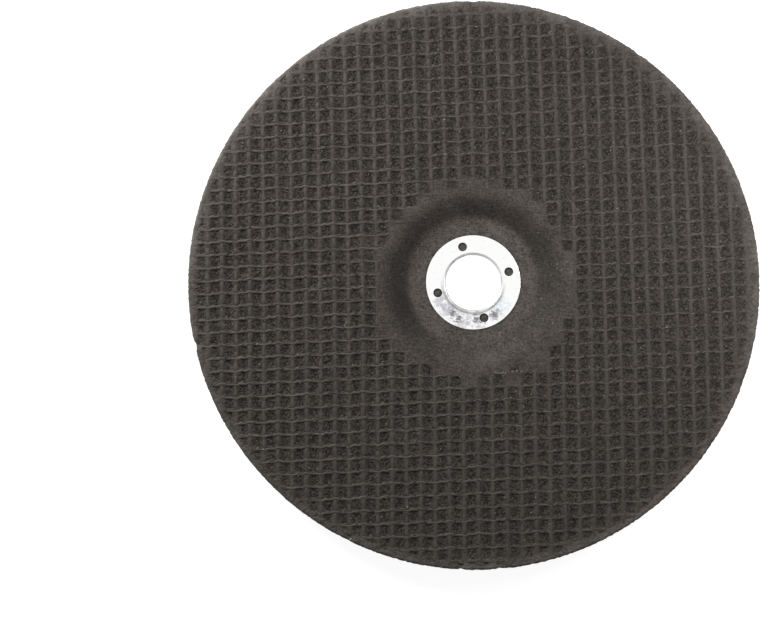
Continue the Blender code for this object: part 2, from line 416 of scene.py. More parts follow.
# Marks on the ring's flange: X and Y from the middle of the bore, and how far each reaches, in millimetres.
# The grey and dark marks are partly stains and scuffs and partly painted reflections of something dark in the
# dents.
GREY_STAIN_AND_REFLECTION_SPOTS = (
    (-12.8, -7.6, 4.8),
    (-9.9, -11.6, 6.2),
    (-4.0, -14.8, 6.5),
    (2.0, -15.4, 5.5),
    (8.9, -13.0, 4.5),
)
DARK_SMEAR_AND_REFLECTION_SPOTS = (
    (1.1, -15.4, 3.6),
    (8.6, -13.0, 4.0),
    (-6.2, -14.8, 3.2),
    (-8.4, -12.6, 3.2),
    (1.0, -12.9, 2.2),
)
BLUE_SPOTS = ((11.9, -8.4, 6.0),)

# The sides of the ring where painted shade lies on the bend into the bore, and where the flange is dented
# most
SHADED_SIDE = (-0.22, 0.28, 0.0)
DENTED_SIDE = (-0.38, -0.92)

# A dark line of painted shade round the bore, on the lip of the sheet on one side
LIP_SIDE = (-0.05, -1.0)
LIP_REACH = 1.50 * MM
LIP_HALF_WIDTH = 0.50 * MM


def spots(shade, place, places):
    """How near the nearest of some places on the flange is: 1 on it, 0 at its reach and less further off."""
    nearness = None
    for x, y, reach in places:
        values = {0: place, 1: (x * MM, y * MM, FLANGE_LEVEL)}
        away = shade.node("ShaderNodeVectorMath", {"operation": "DISTANCE"}, values, out="Value")
        near = 1.0 - away / (reach * MM)
        nearness = near if nearness is None else nearness.maths("MAXIMUM", nearness, near)
    return nearness


def facing(shade, place, side):
    """How far a place lies towards one side of the ring: 1 at its outer edge on that side."""
    values = {0: place, 1: tuple(share / FLANGE_RADIUS for share in side)}
    return shade.node("ShaderNodeVectorMath", {"operation": "DOT_PRODUCT"}, values, out="Value")


def tinned_sheet():
    """Bright tinned sheet, stained blue in places, with fine lines. Its grey patches and dark smeared lines
    on one side are partly stains and scuffs and partly painted reflections of something dark in its dents.
    Painted shade lies on its bend into the bore."""
    material, shader, shade, place = finish("tinned_sheet", metallic=1.0)
    smoke = clouds(shade, place, 420.0, 5.0, 0.65)
    blotch = clouds(shade, place, 560.0, 4.0, 0.7)
    scuff = clouds(shade, stretched(shade, place, 430.0, 1400.0, 500.0), 1.0, 5.0, 0.75)
    # Grey patches and dark smears: partly stains and scuffs, partly painted reflections of something dark in
    # the dents
    stain_and_reflection = (spots(shade, place, GREY_STAIN_AND_REFLECTION_SPOTS) + smoke * 1.6 - 0.70).between(0.25, 0.80)
    stain_and_reflection = stain_and_reflection * (1.0 - blotch.between(0.46, 0.58) * 0.95)
    smear_and_reflection = (spots(shade, place, DARK_SMEAR_AND_REFLECTION_SPOTS) + scuff * 3.6 - 1.85).between(0.45, 0.75)
    blue = (spots(shade, place, BLUE_SPOTS) + smoke * 1.4 - 0.70).between(0.25, 0.80)
    blue = blue * blotch.between(0.64, 0.44)
    fine = scuff.between(0.58, 0.68)
    # Painted shade on the bend into the bore, darker on the shaded side, and a painted dark line on the lip
    edge = marked(shade, "edge") * (facing(shade, place, SHADED_SIDE) + smoke * 0.5 + 0.22).between(0.0, 1.0)
    painted_lip_shade = marked(shade, "painted_lip_shade") * (0.35 + smoke * 0.95)
    tarnish_and_reflection = (stain_and_reflection * (0.35 + smoke * 0.7)).mix(fine.mix(*CLEAN_TIN), GREY_TIN_AND_REFLECTION)
    bluish = (blue * 0.6).mix(tarnish_and_reflection, BLUE_TIN)
    smeared_and_reflected = (smear_and_reflection * 0.85).mix(bluish, SMEAR_AND_REFLECTION_TIN)
    lipped = painted_lip_shade.mix(smeared_and_reflected, LIP_PAINTED_SHADE)
    feed(
        shade,
        shader,
        base_color=edge.mix(lipped, SHADED_BEND),
        roughness=0.16 + stain_and_reflection * 0.14 + smear_and_reflection * 0.3 + edge * 0.2 + painted_lip_shade * 0.2,
        normal=bump(shade, smoke + blotch * 0.5, 0.04 * MM),
    )
    return material


def bare_glass():
    """Ends of glass fibre that the resin left pale."""
    material, shader, shade, place = finish("bare_glass", specular_ior_level=0.6)
    tone = clouds(shade, place, 1800.0, 2.0).between(0.3, 0.7)
    feed(shade, shader, base_color=tone.mix(*PALE_GLASS), roughness=0.35 + tone * 0.2)
    return material


def cream_chip():
    """A chip of cream filler caught in the rim."""
    material, shader, shade, place = finish("cream_chip", roughness=0.6)
    tone = clouds(shade, place, 1500.0, 2.0).between(0.3, 0.7)
    feed(shade, shader, base_color=tone.mix(*CREAM_FILLER))
    return material


def corner_arc(before, corner, after, fillet, tolerance=0.01 * MM):
    """Points of the arc that rounds a corner of an outline of (radius, height) points."""
    back = (before - corner).normalized()
    ahead = (after - corner).normalized()
    half_angle = back.angle(ahead) / 2.0
    centre = corner + (back + ahead).normalized() * fillet / math.sin(half_angle)
    spoke = corner + back * fillet / math.tan(half_angle) - centre
    sweep = math.copysign(math.pi - 2.0 * half_angle, ahead.cross(back))
    steps = math.ceil(abs(sweep) / (2.0 * math.acos(1.0 - tolerance / fillet)))
    return [centre + Matrix.Rotation(sweep * step / steps, 2) @ spoke for step in range(steps + 1)]


def rounded_line(corners, closed=False):
    """An outline through corners given as (radius, height, fillet radius). An open one keeps its two ends."""
    spots = [Vector(corner[:2]) for corner in corners]
    points = []
    for index, (spot, corner) in enumerate(zip(spots, corners)):
        is_end = not closed and index in (0, len(corners) - 1)
        if is_end or corner[2] <= 0.0:
            points.append(spot)
        else:
            points += corner_arc(spots[index - 1], spot, spots[(index + 1) % len(spots)], corner[2])
    return points


def even_steps(points, spacing):
    """The same line with points about one spacing apart."""
    line = np.array(points)
    run = np.concatenate([[0.0], np.cumsum(np.hypot(*np.diff(line, axis=0).T))])
    count = math.ceil(run[-1] / spacing)
    places = np.linspace(0.0, run[-1], count + 1)
    return np.stack([np.interp(places, run, line[:, 0]), np.interp(places, run, line[:, 1])], axis=1)


# The sides of the body's section, as lines of (radius, height) points from the bore out
WALL_ANGLE = math.atan2(FACE_LEVEL - DISC_THICKNESS, HUB_WALL_RUN)
BACK_OFFSET = DISC_THICKNESS * math.tan(WALL_ANGLE / 2.0)
FACE_EDGE_RADIUS = DISC_RADIUS - RIM_ROUNDING
SEAT_RADIUS = FLANGE_RADIUS + SEAT_GAP
BORE_WALL_RADIUS = COLLAR_RADIUS + CLEARANCE
FACE_LINE = np.array(rounded_line([
    (SEAT_RADIUS, HUB_FLOOR_LEVEL, 0.0),
    (HUB_FLOOR_RADIUS, HUB_FLOOR_LEVEL, HUB_FLOOR_BEND),
    (HUB_MOUTH_RADIUS, FACE_LEVEL, HUB_MOUTH_BEND),
    (FACE_EDGE_RADIUS, FACE_LEVEL, 0.0),
]))
BACK_LINE = np.array(rounded_line([
    (BORE_WALL_RADIUS, 0.0, 0.0),
    (HUB_FLOOR_RADIUS + BACK_OFFSET, 0.0, HUB_FLOOR_BEND + DISC_THICKNESS),
    (HUB_MOUTH_RADIUS + BACK_OFFSET, BACK_LEVEL, HUB_MOUTH_BEND - DISC_THICKNESS),
    (FACE_EDGE_RADIUS, BACK_LEVEL, 0.0),
]))


def thread_crossing(warp, weft):
    """Where threads of these numbers cross, counted from the middle of the disc. Works on arrays too."""
    x = warp * WARP_PITCH
    y = weft * WEFT_PITCH
    across = WARP_SHIFT + math.tan(WARP_LEAN) * y + WARP_BOW * (y / DISC_RADIUS) ** 2
    up = WEFT_SHIFT + math.tan(WEFT_LEAN) * x
    return x + across + pulled(x, y, WARP_PULL), y + up + pulled(x, y, WEFT_PULL)


def pulled(x, y, amounts):
    x, y = x / DISC_RADIUS, y / DISC_RADIUS
    terms = (1.0, x, y, x * x, x * y, y * y)
    return sum(amount * term for amount, term in zip(amounts, terms)) * MM


def thread_numbers(x, y):
    """The thread numbers of a place, with their fractions: the reverse of thread_crossing, closed in on in
    steps."""
    warp = x / WARP_PITCH
    weft = y / WEFT_PITCH
    for _ in range(4):
        at_x, at_y = thread_crossing(warp, weft)
        warp = warp + (x - at_x) / WARP_PITCH
        weft = weft + (y - at_y) / WEFT_PITCH
    return warp, weft


def smooth_rise(values, low, high):
    share = np.clip((values - low) / (high - low), 0.0, 1.0)
    return share * share * (3.0 - 2.0 * share)


def past_edge(radius, edge, start, end):
    """0 up to start and 1 from end on, both in millimetres outwards from an edge of the mesh."""
    return smooth_rise(radius, edge + start * MM, edge + end * MM)


def noisy(x, y, z):
    """Smooth noise from -1 to 1 at each of these places, which are numbers or rows of them."""
    return np.array([noise.noise(Vector(place)) for place in zip(*np.broadcast_arrays(x, y, z))])


def wavy(points, scale, seed=0.0):
    """Smooth noise from -1 to 1 at each point, with this many waves to a metre."""
    x, y, z = points.T * scale
    return noisy(x + seed, y, z)


def circle(radius, count):
    turns = np.arange(count) * math.tau / count
    return np.stack([np.cos(turns), np.sin(turns)], axis=1) * radius


def scattered(inner, outer, spacing, rng):
    """Points over a ring-shaped area, about one spacing apart and none in rows."""
    row_gap = spacing * math.sqrt(3.0) / 2.0
    rows = math.ceil(outer / row_gap)
    columns = math.ceil(outer / spacing)
    row, column = np.mgrid[-rows:rows + 1, -columns:columns + 1]
    grid = np.stack([(column + 0.5 * (row % 2)) * spacing, row * row_gap], axis=-1).reshape(-1, 2)
    grid += rng.uniform(-0.3, 0.3, grid.shape) * spacing
    radius = np.hypot(*grid.T)
    return grid[(radius > inner + 0.6 * spacing) & (radius < outer - 0.6 * spacing)]


def patch(inner_circle, outer_circle, spread, line):
    """Triangles over the area between two circles, through all the points spread over it, lifted onto a line
    of (radius, height) points that is turned round Z."""
    inner_count, outer_count = len(inner_circle), len(outer_circle)
    points = np.concatenate([inner_circle, outer_circle, spread]) / MM
    edges = [(index, (index + 1) % inner_count) for index in range(inner_count)]
    edges += [(inner_count + index, inner_count + (index + 1) % outer_count) for index in range(outer_count)]
    corners, _, faces, *_ = delaunay_2d_cdt([Vector(point) for point in points], edges, [], 0, 1e-6)
    places = np.array(corners) * MM
    triangles = np.array(faces)
    radius = np.hypot(*places.T)
    in_hole = np.all(radius[triangles] < np.hypot(*inner_circle[0]) + 1e-6, axis=1)
    return np.column_stack([places, np.interp(radius, *line.T)]), triangles[~in_hole]


def turned_band(line, count, jitter, rng):
    """Triangles over a line of (radius, height) points turned round Z. Only its inner rows are jittered."""
    rows = len(line)
    turns = np.tile(np.arange(count) * math.tau / count, (rows, 1))
    radius = np.tile(line[:, :1], (1, count))
    height = np.tile(line[:, 1:], (1, count))
    inner = slice(1, rows - 1)
    turns[inner] += rng.uniform(-jitter, jitter, turns[inner].shape) * math.tau / count
    points = np.stack([radius * np.cos(turns), radius * np.sin(turns), height], axis=-1).reshape(-1, 3)
    row, column = np.mgrid[0:rows - 1, 0:count]
    ahead = (column + 1) % count
    near, far = row * count, (row + 1) * count
    flip = rng.random(row.shape) < 0.5
    low_left, low_right, high_right, high_left = near + column, near + ahead, far + ahead, far + column
    first = np.stack([low_left, low_right, np.where(flip, high_right, high_left)], axis=-1)
    second = np.stack([np.where(flip, low_left, low_right), high_right, high_left], axis=-1)
    return points, np.concatenate([first.reshape(-1, 3), second.reshape(-1, 3)])


def welded(parts):
    """One set of points and triangles, in which the parts share the points of their common edges."""
    points = np.concatenate([part[0] for part in parts])
    starts = np.cumsum([0] + [len(part[0]) for part in parts[:-1]])
    triangles = np.concatenate([part[1] + start for part, start in zip(parts, starts)])
    rounded = np.round(points / (0.001 * MM))
    _, first, shared = np.unique(rounded, axis=0, return_index=True, return_inverse=True)
    triangles = shared.reshape(-1)[triangles]
    one, two, three = triangles.T
    return points[first], triangles[(one != two) & (two != three) & (one != three)]


def mesh_piece(name, points, faces, material, smooth=True):
    """A closed mesh with its faces out, riding on the disc."""
    mesh = bpy.data.meshes.new(name)
    mesh.from_pydata(points.tolist(), [], faces.tolist() if hasattr(faces, "tolist") else faces)
    shell = bmesh.new()
    shell.from_mesh(mesh)
    bmesh.ops.recalc_face_normals(shell, faces=shell.faces)
    shell.to_mesh(mesh)
    shell.free()
    if smooth:
        mesh.shade_smooth()
    mesh.materials.append(material)
    piece = bpy.data.objects.new(name, mesh)
    bpy.context.scene.collection.objects.link(piece)
    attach(piece, "root")
    return piece


def mark(piece, name, values):
    """Gives a piece's points a value that its material reads."""
    attribute = piece.data.attributes.new(name, "FLOAT", "POINT")
    attribute.data.foreach_set("value", np.full(len(piece.data.vertices), values, dtype=np.float32))


def at_points(mesh, name):
    """The "co" or "normal" of a mesh's points, as rows of X, Y and Z."""
    values = np.zeros(len(mesh.vertices) * 3)
    mesh.vertices.foreach_get(name, values)
    return values.reshape(-1, 3)


def weft_stand(x, y):
    """How proud the weft threads stand: 1 on the left of the disc, where grit fell away under them, and 0 on
    the right."""
    return np.clip(0.52 - 0.50 * x / DISC_RADIUS - 0.14 * y / DISC_RADIUS, 0.0, 1.0)


def weft_push(warp):
    """How far up the disc a weft thread is pushed where it lies at this warp number."""
    return np.interp((warp + 0.5) % 2.0 - 0.5, WEFT_WAY, WEFT_PUSH) * MM


def cell_state(x, y):
    """For each place: how deep it lies in its cell, from 0 to 1 and a little more under a weft thread's lower
    edge, how far resin filled that cell, the cell's own chance number, and how far the threads are away."""
    warp, weft = thread_numbers(x, y)
    right_of_warp = (warp - np.round(warp)) * WARP_PITCH
    from_warp = np.abs(right_of_warp)
    slope_end = np.where(right_of_warp > 0.0, WARP_SLOPE_END_RIGHT, WARP_SLOPE_END_LEFT)
    above_weft = (weft - np.round(weft)) * WEFT_PITCH - weft_push(warp)
    stand = weft_stand(x, y)
    undercut = 1.0 + 0.04 * stand * (1.0 - smooth_rise(-above_weft, 0.6 * MM, 1.2 * MM))
    below_start, below_end = WEFT_SLOPE_BELOW
    by_weft = np.where(
        above_weft > 0.0,
        smooth_rise(above_weft, *WEFT_SLOPE_ABOVE),
        smooth_rise(-above_weft, below_start, below_end - PROUD_WEFT_STEEPER * stand) * undercut,
    )
    deep = smooth_rise(from_warp, WARP_SLOPE_START, slope_end) * by_weft * (0.82 + 0.18 * stand)
    middle_x, middle_y = thread_crossing(np.floor(warp) + 0.5, np.floor(weft) + 0.5)
    luck = CELL_LUCK[np.floor(warp).astype(int) % 64, np.floor(weft).astype(int) % 64]
    radius = np.hypot(x, y)
    by_hub = 1.0 - past_edge(np.hypot(middle_x, middle_y) + luck * 2.1 * MM, MESH_INNER_RADIUS, -2.8, 3.2)
    at_rim = past_edge(radius + luck * 0.5 * MM, MESH_OUTER_RADIUS, -0.7, 1.5)
    inside = 1.0 - past_edge(radius, MESH_INNER_RADIUS, -3.4, -1.6)
    return deep, np.maximum.reduce([by_hub, at_rim, inside]), luck, from_warp, np.abs(above_weft)


def cell_sink(deep, luck):
    """How far below the face the grit lies where a cell is this deep."""
    return GRIT_SINK + (CELL_DEPTH - GRIT_SINK - FLOOR_RISE + luck * FLOOR_CHANCE) * deep


def pressed_body(material):
    """The moulded body as one closed skin: face, rim, back, bore wall and the seat under the ring."""
    rng = np.random.default_rng(11)
    rim_circle = circle(FACE_EDGE_RADIUS, RIM_SEGMENTS)
    face_spread = scattered(SEAT_RADIUS, FACE_EDGE_RADIUS, FACE_SPACING, rng)
    _, _, _, from_warp, from_weft = cell_state(*face_spread.T)
    reach = np.hypot(*face_spread.T)
    hidden = (from_warp < HIDDEN_BY_WARP) | (from_weft < HIDDEN_BY_WEFT)
    hidden &= (reach > MESH_INNER_RADIUS) & (reach < MESH_OUTER_RADIUS + 0.5 * MM)
    plain = (reach < MESH_INNER_RADIUS - 3.0 * MM) & (rng.random(len(reach)) < PLAIN_THINNING)
    face_spread = face_spread[~hidden & ~plain]
    face_spread = np.concatenate([face_spread, weft_edges(rng)])
    face = patch(circle(SEAT_RADIUS, BORE_SEGMENTS), rim_circle, face_spread, FACE_LINE)

    back_spread = scattered(BORE_WALL_RADIUS, FACE_EDGE_RADIUS - 1.5 * MM, BACK_SPACING, rng)
    edge_ring = circle(FACE_EDGE_RADIUS - 0.9 * MM, RIM_SEGMENTS // 2)
    back_spread = np.concatenate([edge_ring, back_spread])
    back = patch(circle(BORE_WALL_RADIUS, BORE_SEGMENTS), rim_circle, back_spread, BACK_LINE)

    rim_bend = RIM_ROUNDING - 0.01 * MM
    rim_line = rounded_line([
        (FACE_EDGE_RADIUS, FACE_LEVEL, 0.0),
        (DISC_RADIUS, FACE_LEVEL, rim_bend),
        (DISC_RADIUS, BACK_LEVEL, rim_bend),
        (FACE_EDGE_RADIUS, BACK_LEVEL, 0.0),
    ])
    rim = turned_band(even_steps(rim_line, RIM_SPACING), RIM_SEGMENTS, 0.3, rng)
    seat_level = FLANGE_LEVEL - SHEET_THICKNESS - CLEARANCE
    seat_bend = BORE_EDGE_BEND - SHEET_THICKNESS - CLEARANCE
    seat_line = rounded_line([
        (SEAT_RADIUS, HUB_FLOOR_LEVEL, 0.0),
        (SEAT_RADIUS, seat_level, 0.0),
        (BORE_WALL_RADIUS, seat_level, seat_bend),
        (BORE_WALL_RADIUS, 0.0, 0.0),
    ])
    seat = turned_band(np.array(seat_line), BORE_SEGMENTS, 0.0, rng)

    points, triangles = welded([face, back, rim, seat])
    piece = mesh_piece("pressed_body", points, triangles, material)
    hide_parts("abrasive_body")
    roughen(piece, rng)
    return piece


def weft_edges(rng):
    """Points along both edges of every weft thread, where the grit starts."""
    edges = []
    reach = DISC_RADIUS / WARP_PITCH
    warp = np.arange(-reach, reach, WEFT_EDGE_SPACING / WARP_PITCH)
    for number in range(-WEFT_COUNT, WEFT_COUNT + 1):
        x, y = thread_crossing(warp, number)
        for away in WEFT_EDGE_ROWS:
            row = np.stack([x, y + weft_push(warp) + away], axis=1)
            edges.append(row + rng.uniform(-ROW_SCATTER, ROW_SCATTER, row.shape))
    spread = np.concatenate(edges)
    radius = np.hypot(*spread.T)
    return spread[(radius > MESH_INNER_RADIUS) & (radius < FACE_EDGE_RADIUS - 0.7 * MM)]


def roughen(piece, rng):
    """Sinks the cells of the mesh into the face, and sets every point in or out as grit does."""
    mesh = piece.data
    points, out = at_points(mesh, "co"), at_points(mesh, "normal")
    x, y, z = points.T
    radius = np.hypot(x, y)
    deep, filled, luck, from_warp, from_weft = cell_state(x, y)
    on_face = (z > BACK_LEVEL + 0.5 * MM) & (out[:, 2] > 0.5) & (radius > SEAT_RADIUS + 0.1 * MM)
    on_mesh = on_face * (1.0 - filled)
    on_back = (out[:, 2] < -0.3) & (radius > BORE_WALL_RADIUS + 0.1 * MM)
    on_rim = (radius > FACE_EDGE_RADIUS + 0.05 * MM) & ~on_face
    in_seat = radius < SEAT_RADIUS + 0.05 * MM
    film = np.where(on_face, np.clip(filled + 0.25 * (1.0 - deep) * (1.0 - filled), 0.0, 1.0), 0.35)
    film[on_rim] = 0.15
    film = np.where(on_face & (radius > MESH_OUTER_RADIUS), np.minimum(film, 0.35), film)

    stand = rng.normal(0.0, 1.0, len(points))
    coarse = wavy(points, 240.0)
    medium = wavy(points, 700.0, 9.0)
    grit = np.where(on_face, CELL_GRIT * on_mesh * (0.35 + 0.65 * deep) + FILM_GRIT, 0.0)
    at_edge = on_face * past_edge(radius, MESH_OUTER_RADIUS, -1.5, 1.0)
    grit = grit + RIM_GRIT * on_rim + BACK_GRIT * on_back + EDGE_GRIT * at_edge
    shift = grit * (0.85 * stand + 0.7 * medium + 0.3 * coarse)
    thread_mark = np.exp(-(from_weft / (0.4 * MM)) ** 2) + 0.6 * np.exp(-(from_warp / (0.7 * MM)) ** 2)
    broken = smooth_rise(medium + coarse, -0.3, 0.5)
    shift += on_face * filled * 0.035 * MM * thread_mark * broken
    sunk = on_mesh * cell_sink(deep, luck)
    bared = past_edge(radius, THREAD_INNER_RADIUS, -1.0, 3.0)
    sunk += on_face * filled * (0.03 + 0.09 * bared * smooth_rise(coarse + 0.5 * medium, -0.35, 0.35)) * MM
    notches = rim_notches(x, y)
    shift -= notches * (radius > FACE_EDGE_RADIUS - 1.5 * MM) + on_rim * (0.10 + np.abs(coarse) * 0.1) * MM
    shift[in_seat] = 0.0
    points += out * shift[:, None]
    points[:, 2] -= sunk
    reach = np.hypot(points[:, 0], points[:, 1])
    over = np.maximum(reach / DISC_RADIUS, 1.0)
    points[:, :2] /= over[:, None]
    points[:, 2] = np.clip(points[:, 2], 0.0, FACE_LEVEL)
    mesh.vertices.foreach_set("co", points.reshape(-1))
    mesh.update()
    mark(piece, "film", film)
    mark(piece, "stand", np.clip(0.5 + 0.25 * stand + 0.25 * medium, 0.0, 1.0))

    # Painted shade and sheen on the hub wall: darkest on the left and lighter along Y, over the film's own
    # tone
    turn = np.arctan2(y, x)
    from_painted_shade = (turn - PAINTED_SHADE_WAY + math.pi) % math.tau - math.pi
    painted_wall_shade = PAINTED_SHADE_DEPTH * np.exp(-(from_painted_shade / PAINTED_SHADE_SPREAD) ** 2)
    painted_sheen_and_shade = PAINTED_SHEEN_DEPTH * np.cos(2.0 * (turn - PAINTED_SHEEN_WAY)) - painted_wall_shade
    on_wall = np.interp(radius, FILM_TONE_AND_SHADE_REACHES, (0.0, 1.0, 1.0, 0.0))
    film_tone_and_shade = np.interp(np.hypot(x + FILM_TONE_AND_SHADE_SHIFT, y - FILM_TONE_AND_SHADE_SHIFT), FILM_TONE_AND_SHADE_REACHES, FILM_TONES_AND_SHADE)
    mark(piece, "tone_and_painted_light", film_tone_and_shade * (1.0 + painted_sheen_and_shade * on_wall))
    near_rim = np.clip((radius + 0.8 * coarse * MM - DISC_RADIUS) / DUST_BAND + 1.0, 0.0, 1.0) ** 2.0
    # Painted light: the dust is lighter towards the top and the left, and on two opposite sides
    dust_and_light_by_side = 1.0 + 0.34 * y / DISC_RADIUS - 0.12 * x / DISC_RADIUS + 0.25 * np.cos(2.0 * (turn - DUST_AND_LIGHT_WAY))
    caught = (1.0 - 0.55 * deep * on_mesh) * on_face
    mark(piece, "dust", near_rim * caught * (dust_and_light_by_side + 0.5 * medium + 0.4 * coarse))

    corners = np.zeros(len(mesh.loops), dtype=np.int32)
    mesh.loops.foreach_get("vertex_index", corners)
    face_film = film[corners.reshape(-1, 3)].mean(axis=1)
    mesh.polygons.foreach_set("use_smooth", face_film >= 0.6)


# Bites out of the rim: where they are round the disc, in degrees, how deep and how long
RIM_BITES = (
    (193.0, 0.85 * MM, 1.6 * MM),
    (267.0, 0.5 * MM, 1.2 * MM),
    (275.0, 0.45 * MM, 1.5 * MM),
    (244.0, 0.4 * MM, 1.3 * MM),
    (54.0, 0.4 * MM, 1.4 * MM),
    (90.0, 0.4 * MM, 1.2 * MM),
)


def rim_notches(x, y):
    turn = np.arctan2(y, x)
    depth = np.zeros(len(x))
    for degrees, bite, length in RIM_BITES:
        away = (turn - math.radians(degrees) + math.pi) % math.tau - math.pi
        depth += bite * np.exp(-((away * DISC_RADIUS) / length) ** 2)
    return depth


def tube_faces(count, around, first):
    """The faces of a closed tube of this many rings: the quads along it, and one face on each end. The tube's
    points are numbered from first on."""
    step, corner = np.mgrid[0:count - 1, 0:around]
    ahead = (corner + 1) % around
    quads = np.stack([
        step * around + corner,
        step * around + ahead,
        (step + 1) * around + ahead,
        (step + 1) * around + corner,
    ], axis=-1).reshape(-1, 4)
    ends = np.stack([np.arange(around), np.arange(around) + (count - 1) * around])
    return (quads + first).tolist() + (ends + first).tolist()


def thread_tube(line, half_width, height, section):
    """Rings of points round one thread, with a flat bottom and the section's crest on its line."""
    ahead = np.gradient(line, axis=0)
    ahead /= np.linalg.norm(ahead, axis=1)[:, None]
    side = np.stack([ahead[:, 1], -ahead[:, 0], np.zeros(len(line))], axis=1)
    side /= np.linalg.norm(side, axis=1)[:, None]
    across, rise = section.T
    rings = line[:, None, :] + side[:, None, :] * (across[None, :, None] * half_width[:, None, None])
    rings[..., 2] += (rise - 1.0) * height
    return rings.reshape(-1, 3)


def flat_section(count, groove):
    """A thread's section: a flattened arch, with a groove along its crest, over a flat bottom."""
    turn = np.linspace(0.0, math.pi, count)
    across = np.cos(turn)
    rise = np.sin(turn) ** 0.7 * (1.0 - groove * np.exp(-(across / 0.22) ** 2))
    return np.stack([across, rise], axis=1)


def thread_runs(x, y):
    """The stretches of a thread that lie in the grinding face, as slices."""
    radius = np.hypot(x, y)
    inside = (radius > THREAD_INNER_RADIUS) & (radius < MESH_OUTER_RADIUS + 1.3 * MM)
    edges = np.flatnonzero(np.diff(np.concatenate([[0], inside.astype(int), [0]])))
    return [slice(start, stop) for start, stop in zip(edges[::2], edges[1::2]) if stop - start > 4]


def threads(name, number_count, line_of, half_width, height, section, material, seed):
    """All threads of one direction as one piece."""
    rng = np.random.default_rng(seed)
    points, faces, tones = [], [], []
    total = 0
    for number in range(-number_count, number_count + 1):
        line = line_of(number)
        for run in thread_runs(line[:, 0], line[:, 1]):
            part, tone_and_painted_light = line[run, :3].copy(), line[run, 3]
            radius = np.hypot(part[:, 0], part[:, 1])
            by_hub = 1.0 - past_edge(radius, MESH_INNER_RADIUS, -3.5, 2.0)
            at_rim = past_edge(radius, MESH_OUTER_RADIUS, -2.0, 1.2)
            sunk = 0.03 * MM * by_hub + 0.06 * MM * at_rim
            part[:, 2] = part[:, 2] * (1.0 - by_hub) - sunk + FACE_LEVEL
            width = half_width * (1.0 + 0.10 * rng.normal(0.0, 1.0, len(part)))
            width *= 1.0 - 0.25 * at_rim - 0.35 * by_hub
            tube = thread_tube(part, width, height, section)
            tube += rng.normal(0.0, THREAD_FRAY, tube.shape)
            points.append(tube)
            tones.append(np.repeat(tone_and_painted_light, len(section)))
            faces += tube_faces(len(part), len(section), total)
            total += len(tube)
    whole = np.concatenate(points)
    whole[:, 2] = np.minimum(whole[:, 2], FACE_LEVEL)
    piece = mesh_piece(name, whole, faces, material)
    # Each point's tone holds painted light and shade besides tone at random
    mark(piece, "tone_and_painted_light", np.concatenate(tones))
    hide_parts("glass_mesh")
    return piece


def warp_line(number):
    """The crest line of one warp thread, its heights measured from the face, and how light it is there."""
    reach = math.ceil(DISC_RADIUS / WEFT_PITCH) * STEPS_TO_A_CELL
    weft = np.arange(-reach, reach + 1) / STEPS_TO_A_CELL
    x, y = thread_crossing(number, weft)
    wander = noisy(number * 7.3, weft * 0.22, 0.0)
    ripple = noisy(number * 5.7, weft * 1.3, 3.0)
    stand = weft_stand(x, y)
    crest, tone = (EVEN_WARP_CREST, EVEN_WARP_PAINTED_LIGHT) if number % 2 == 0 else (ODD_WARP_CREST, ODD_WARP_PAINTED_LIGHT)
    height = np.interp(-weft % 1.0, *crest) * (0.35 + 0.65 * stand) + 0.025 * (ripple - 1.0)
    # Painted light and shade: strongest on the left, darker on the right and towards the bottom, with tone at
    # random
    tone_and_painted_light = 1.0 + (np.interp(-weft % 1.0, *tone) - 1.0) * (0.5 + 0.6 * stand)
    tone_and_painted_light = (tone_and_painted_light + 0.16 * ripple - 0.14 * (1.0 - stand)) * (0.825 + 0.18 * y / DISC_RADIUS)
    return np.stack([x + wander * THREAD_WANDER, y, height * MM, tone_and_painted_light], axis=1)


def weft_line(number):
    """The same for one weft thread."""
    reach = math.ceil(DISC_RADIUS / WARP_PITCH) * STEPS_TO_A_CELL
    warp = np.arange(-reach, reach + 1) / STEPS_TO_A_CELL
    x, y = thread_crossing(warp, number)
    wander = noisy(warp * 0.3, number * 5.1, 4.0)
    ripple = noisy(warp * 1.4, number * 3.7, 8.0)
    stand = weft_stand(x, y)
    crest = np.interp((warp + 0.5) % 2.0 - 0.5, WEFT_WAY, WEFT_CREST)
    height = crest + 0.02 * (ripple - 1.0) - 0.055 * (1.0 - stand)
    # Painted light: lighter on the left, where the thread stands proud, and towards the top, with tone at
    # random
    tone_and_painted_light = 1.08 + 0.15 * stand + 0.20 * ripple + 0.10 * y / DISC_RADIUS
    y = y + weft_push(warp) + wander * THREAD_WANDER * 0.6 + ripple * 0.10 * MM
    return np.stack([x, y, height * MM, tone_and_painted_light], axis=1)


# A crushed grain starts from these twelve corners and twenty faces
GOLDEN = (1.0 + math.sqrt(5.0)) / 2.0
GRAIN_CORNERS = np.array([
    (-1, GOLDEN, 0), (1, GOLDEN, 0), (-1, -GOLDEN, 0), (1, -GOLDEN, 0),
    (0, -1, GOLDEN), (0, 1, GOLDEN), (0, -1, -GOLDEN), (0, 1, -GOLDEN),
    (GOLDEN, 0, -1), (GOLDEN, 0, 1), (-GOLDEN, 0, -1), (-GOLDEN, 0, 1),
]) / math.hypot(1.0, GOLDEN)
GRAIN_FACES = np.array([
    (0, 11, 5), (0, 5, 1), (0, 1, 7), (0, 7, 10), (0, 10, 11), (1, 5, 9), (5, 11, 4), (11, 10, 2), (10, 7, 6),
    (7, 1, 8), (3, 9, 4), (3, 4, 2), (3, 2, 6), (3, 6, 8), (3, 8, 9), (4, 9, 5), (2, 4, 11), (6, 2, 10),
    (8, 6, 7), (9, 8, 1),
])

